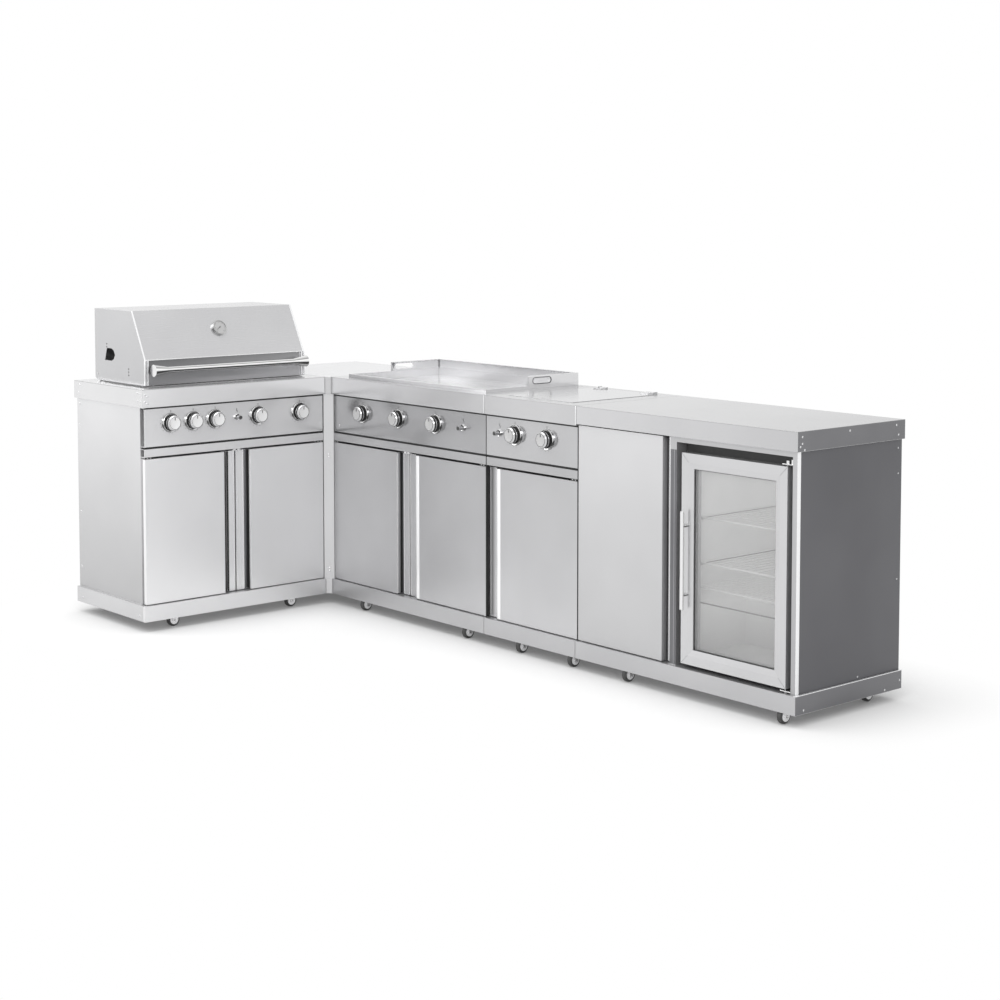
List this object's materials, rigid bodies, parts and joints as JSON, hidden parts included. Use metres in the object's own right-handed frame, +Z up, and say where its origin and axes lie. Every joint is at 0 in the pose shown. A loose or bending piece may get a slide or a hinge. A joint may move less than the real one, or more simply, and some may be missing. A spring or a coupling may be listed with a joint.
{
  "type": "outdoor kitchen island",
  "caption": "L-shaped outdoor kitchen island of stainless cabinets with a hooded grill, a griddle with wind guard, a lidded side burner and a glass-door fridge.",
  "frame": {"origin": "centre of the bounding box on the floor", "axes": "+X along the long run towards the fridge, +Y from the run's fronts to its back, +Z up; the grill module's front faces +X"},
  "size_m": [2.977, 1.377, 1.205],
  "materials": {
    "shell": "satin",
    "worktop": "satin",
    "door": "satin",
    "panel": "polished",
    "knob": "polished",
    "bezel": "polished",
    "bright_steel": "polished",
    "dial": "satin",
    "liner": "satin",
    "plate": "satin",
    "iron": "matt",
    "dark_body": "matt",
    "glass": "clear",
    "wire": "polished",
    "fork": "polished",
    "wheel": "matt"
  },
  "bodies": {
    "island": {"burner_bowl": "liner", "caster_forks": "fork", "cooking_grates": "wire", "corner_cabinet": "shell", "corner_worktop": "worktop", "drip_tray": "liner", "firebox": "liner", "flame_tamers": "liner", "fridge_body": "dark_body", "fridge_cabinet": "shell", "fridge_shelves": "wire", "fridge_worktop": "worktop", "griddle_burners": "liner", "griddle_cabinet": "shell", "griddle_control_panel": "panel", "griddle_plate": "plate", "griddle_tray": "bright_steel", "griddle_worktop": "worktop", "grill_burners": "liner", "grill_cabinet": "shell", "grill_control_panel": "panel", "grill_worktop": "worktop", "knob_bezels": "bezel", "pan_support": "iron", "ring_burner": "iron", "side_cabinet": "shell", "side_control_panel": "panel", "side_worktop": "worktop", "warming_rack": "wire", "wind_guard": "bright_steel"},
    "grill_door_left": {"grill_door_left": "door"},
    "grill_door_right": {"grill_door_right": "door"},
    "griddle_door_left": {"griddle_door_left": "door"},
    "griddle_door_right": {"griddle_door_right": "door"},
    "side_door": {"side_door": "door"},
    "storage_door": {"storage_door": "door"},
    "fridge_door": {"fridge_door_frame": "bright_steel", "fridge_glass": "glass", "fridge_handle": "bright_steel"},
    "hood": {"grill_hood": "bright_steel", "hood_handle": "bright_steel", "hood_thermometer": "dial"},
    "side_lid": {"side_lid": "bright_steel"},
    "grill_knob_1": {"grill_knob_1": "knob"},
    "grill_knob_2": {"grill_knob_2": "knob"},
    "grill_knob_3": {"grill_knob_3": "knob"},
    "grill_knob_4": {"grill_knob_4": "knob"},
    "grill_knob_5": {"grill_knob_5": "knob"},
    "griddle_knob_1": {"griddle_knob_1": "knob"},
    "griddle_knob_2": {"griddle_knob_2": "knob"},
    "griddle_knob_3": {"griddle_knob_3": "knob"},
    "side_knob_1": {"side_knob_1": "knob"},
    "side_knob_2": {"side_knob_2": "knob"},
    "grill_igniter": {"grill_igniter": "knob"},
    "griddle_igniter": {"griddle_igniter": "knob"},
    "side_igniter": {"side_igniter": "knob"},
    "run_front_wheels": {"run_front_wheels": "wheel"},
    "run_rear_wheels": {"run_rear_wheels": "wheel"},
    "grill_left_wheels": {"grill_left_wheels": "wheel"},
    "grill_right_wheels": {"grill_right_wheels": "wheel"}
  },
  "joints": [
    {"name": "grill_door_left_hinge", "type": "hinge", "parent": "island", "child": "grill_door_left", "pos_m": [-0.9805, -0.6605, 0.379], "axis": [0, 0, 1], "range_deg": [-105, 0]},
    {"name": "grill_door_right_hinge", "type": "hinge", "parent": "island", "child": "grill_door_right", "pos_m": [-0.9805, 0.1275, 0.379], "axis": [0, 0, 1], "range_deg": [0, 90]},
    {"name": "griddle_door_left_hinge", "type": "hinge", "parent": "island", "child": "griddle_door_left", "pos_m": [-0.9275, 0.1805, 0.379], "axis": [0, 0, 1], "range_deg": [-90, 0]},
    {"name": "griddle_door_right_hinge", "type": "hinge", "parent": "island", "child": "griddle_door_right", "pos_m": [-0.0095, 0.1805, 0.379], "axis": [0, 0, 1], "range_deg": [0, 105]},
    {"name": "side_door_hinge", "type": "hinge", "parent": "island", "child": "side_door", "pos_m": [0.4805, 0.1805, 0.379], "axis": [0, 0, 1], "range_deg": [0, 105]},
    {"name": "storage_door_hinge", "type": "hinge", "parent": "island", "child": "storage_door", "pos_m": [0.5125, 0.1805, 0.4775], "axis": [0, 0, 1], "range_deg": [-105, 0]},
    {"name": "fridge_door_hinge", "type": "hinge", "parent": "island", "child": "fridge_door", "pos_m": [1.4265, 0.1885, 0.46], "axis": [0, 0, 1], "range_deg": [0, 105]},
    {"name": "hood_hinge", "type": "hinge", "parent": "island", "child": "hood", "pos_m": [-1.3985, -0.2665, 0.951], "axis": [0, -1, 0], "range_deg": [0, 85]},
    {"name": "side_lid_hinge", "type": "hinge", "parent": "island", "child": "side_lid", "pos_m": [0.2515, 0.6475, 0.924], "axis": [-1, 0, 0], "range_deg": [0, 95]},
    {"name": "grill_knob_1_turn", "type": "hinge", "parent": "island", "child": "grill_knob_1", "pos_m": [-0.958, -0.5605, 0.787], "axis": [1, 0, 0], "range_deg": [0, 180]},
    {"name": "grill_knob_2_turn", "type": "hinge", "parent": "island", "child": "grill_knob_2", "pos_m": [-0.958, -0.4625, 0.787], "axis": [1, 0, 0], "range_deg": [0, 180]},
    {"name": "grill_knob_3_turn", "type": "hinge", "parent": "island", "child": "grill_knob_3", "pos_m": [-0.958, -0.3645, 0.787], "axis": [1, 0, 0], "range_deg": [0, 180]},
    {"name": "grill_knob_4_turn", "type": "hinge", "parent": "island", "child": "grill_knob_4", "pos_m": [-0.958, -0.1685, 0.787], "axis": [1, 0, 0], "range_deg": [0, 180]},
    {"name": "grill_knob_5_turn", "type": "hinge", "parent": "island", "child": "grill_knob_5", "pos_m": [-0.958, 0.0275, 0.787], "axis": [1, 0, 0], "range_deg": [0, 180]},
    {"name": "griddle_knob_1_turn", "type": "hinge", "parent": "island", "child": "griddle_knob_1", "pos_m": [-0.7475, 0.158, 0.787], "axis": [0, -1, 0], "range_deg": [0, 180]},
    {"name": "griddle_knob_2_turn", "type": "hinge", "parent": "island", "child": "griddle_knob_2", "pos_m": [-0.5185, 0.158, 0.787], "axis": [0, -1, 0], "range_deg": [0, 180]},
    {"name": "griddle_knob_3_turn", "type": "hinge", "parent": "island", "child": "griddle_knob_3", "pos_m": [-0.2895, 0.158, 0.787], "axis": [0, -1, 0], "range_deg": [0, 180]},
    {"name": "side_knob_1_turn", "type": "hinge", "parent": "island", "child": "side_knob_1", "pos_m": [0.1665, 0.158, 0.787], "axis": [0, -1, 0], "range_deg": [0, 180]},
    {"name": "side_knob_2_turn", "type": "hinge", "parent": "island", "child": "side_knob_2", "pos_m": [0.3365, 0.158, 0.787], "axis": [0, -1, 0], "range_deg": [0, 180]},
    {"name": "grill_igniter_press", "type": "slide", "parent": "island", "child": "grill_igniter", "axis": [-1, 0, 0], "range_m": [0, 0.006], "stiffness_N_per_m": 400, "springref_m": -0.001},
    {"name": "griddle_igniter_press", "type": "slide", "parent": "island", "child": "griddle_igniter", "axis": [0, 1, 0], "range_m": [0, 0.006], "stiffness_N_per_m": 400, "springref_m": -0.001},
    {"name": "side_igniter_press", "type": "slide", "parent": "island", "child": "side_igniter", "axis": [0, 1, 0], "range_m": [0, 0.006], "stiffness_N_per_m": 400, "springref_m": -0.001},
    {"name": "run_front_wheels_roll", "type": "hinge", "parent": "island", "child": "run_front_wheels", "pos_m": [0.2725, 0.1855, 0.025], "axis": [1, 0, 0], "continuous": true},
    {"name": "run_rear_wheels_roll", "type": "hinge", "parent": "island", "child": "run_rear_wheels", "pos_m": [0.2725, 0.5945, 0.025], "axis": [1, 0, 0], "continuous": true},
    {"name": "grill_left_wheels_roll", "type": "hinge", "parent": "island", "child": "grill_left_wheels", "pos_m": [-1.231, -0.5415, 0.025], "axis": [1, 0, 0], "continuous": true},
    {"name": "grill_right_wheels_roll", "type": "hinge", "parent": "island", "child": "grill_right_wheels", "pos_m": [-1.231, -0.0005, 0.025], "axis": [1, 0, 0], "continuous": true}
  ],
  "couplings": [
    {"joint": "run_rear_wheels_roll", "follows": "run_front_wheels_roll", "ratio": 1},
    {"joint": "grill_left_wheels_roll", "follows": "run_front_wheels_roll", "ratio": 1},
    {"joint": "grill_right_wheels_roll", "follows": "run_front_wheels_roll", "ratio": 1}
  ]
}
